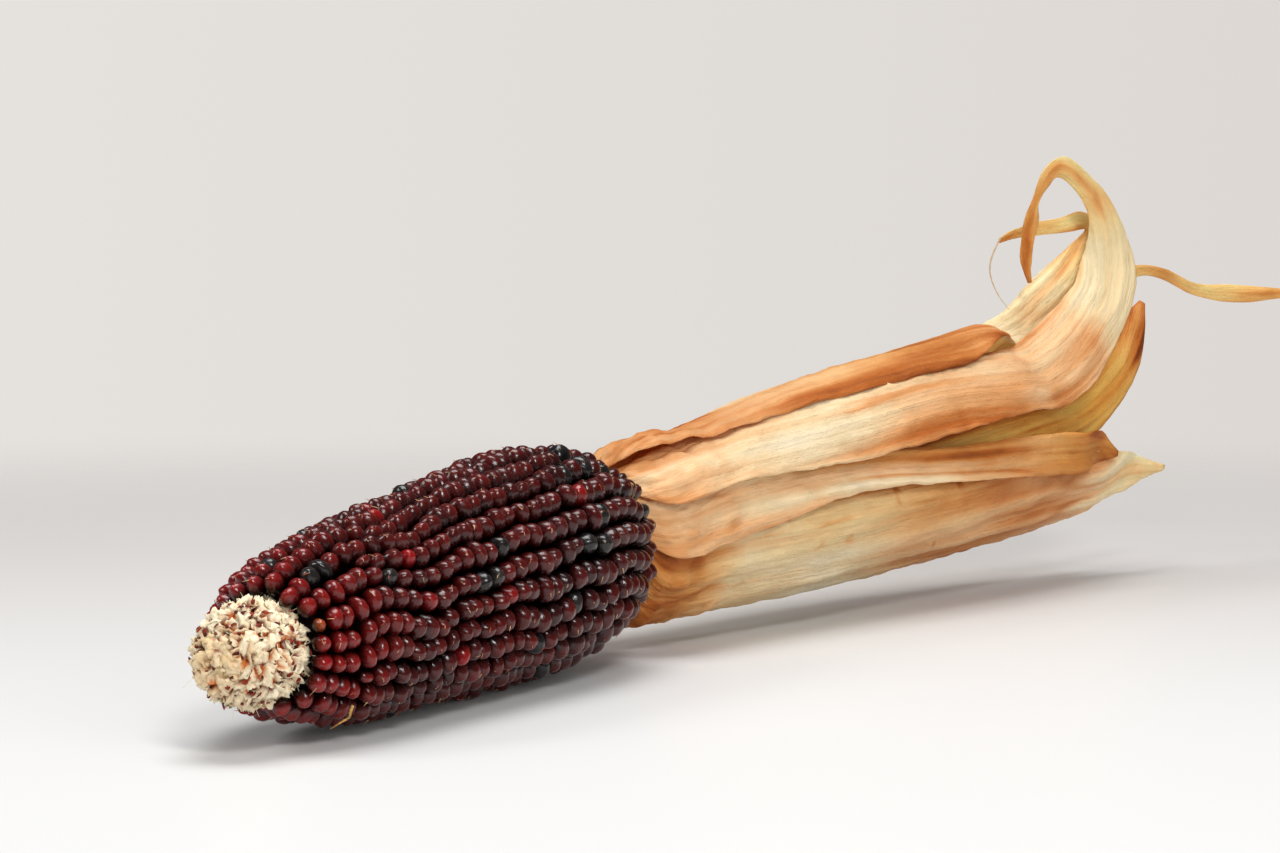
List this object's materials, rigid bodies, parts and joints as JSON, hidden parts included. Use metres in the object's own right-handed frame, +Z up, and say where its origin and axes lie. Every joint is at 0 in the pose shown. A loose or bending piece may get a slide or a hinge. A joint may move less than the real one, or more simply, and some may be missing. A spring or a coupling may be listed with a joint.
{
  "type": "ear of ornamental popcorn",
  "caption": "Dried ear of ornamental corn lying on its side: dark red kernels in slightly wavy rows on a pale cob, with the papery husk pulled back behind it.",
  "frame": {"origin": "on the surface the ear lies on, under the centre of its overall box", "axes": "+X from the bare cob tip towards the husk tail, +Z up, -Y to the side the husk mouth opens to"},
  "size_m": [0.3192, 0.0786, 0.0808],
  "materials": {
    "kernel_maroon": "satin",
    "cob_chaff": "matte",
    "dry_husk": "satin",
    "dry_silk": "matte"
  },
  "bodies": {
    "root": {"cob": "cob_chaff", "kernel_row_01": "kernel_maroon", "kernel_row_02": "kernel_maroon", "kernel_row_03": "kernel_maroon", "kernel_row_04": "kernel_maroon", "kernel_row_05": "kernel_maroon", "kernel_row_06": "kernel_maroon", "kernel_row_07": "kernel_maroon", "kernel_row_08": "kernel_maroon", "kernel_row_09": "kernel_maroon", "kernel_row_10": "kernel_maroon", "kernel_row_11": "kernel_maroon", "kernel_row_12": "kernel_maroon", "kernel_row_13": "kernel_maroon", "kernel_row_14": "kernel_maroon", "kernel_row_15": "kernel_maroon", "kernel_row_16": "kernel_maroon", "kernel_row_17": "kernel_maroon", "kernel_row_18": "kernel_maroon", "kernel_row_19": "kernel_maroon", "kernel_row_20": "kernel_maroon", "kernel_row_21": "kernel_maroon", "kernel_row_22": "kernel_maroon", "kernel_row_23": "kernel_maroon", "kernel_row_24": "kernel_maroon", "husk_leaf_top": "dry_husk", "husk_leaf_upper": "dry_husk", "husk_leaf_middle": "dry_husk", "husk_leaf_lower": "dry_husk", "husk_leaf_bottom": "dry_husk", "husk_leaf_back": "dry_husk", "husk_leaf_inner_gold": "dry_husk", "husk_leaf_inner_low": "dry_husk", "husk_leaf_inner_far": "dry_husk", "husk_leaf_inner_top": "dry_husk", "husk_fibre": "dry_husk", "silk_strand": "dry_silk"}
  },
  "joints": []
}
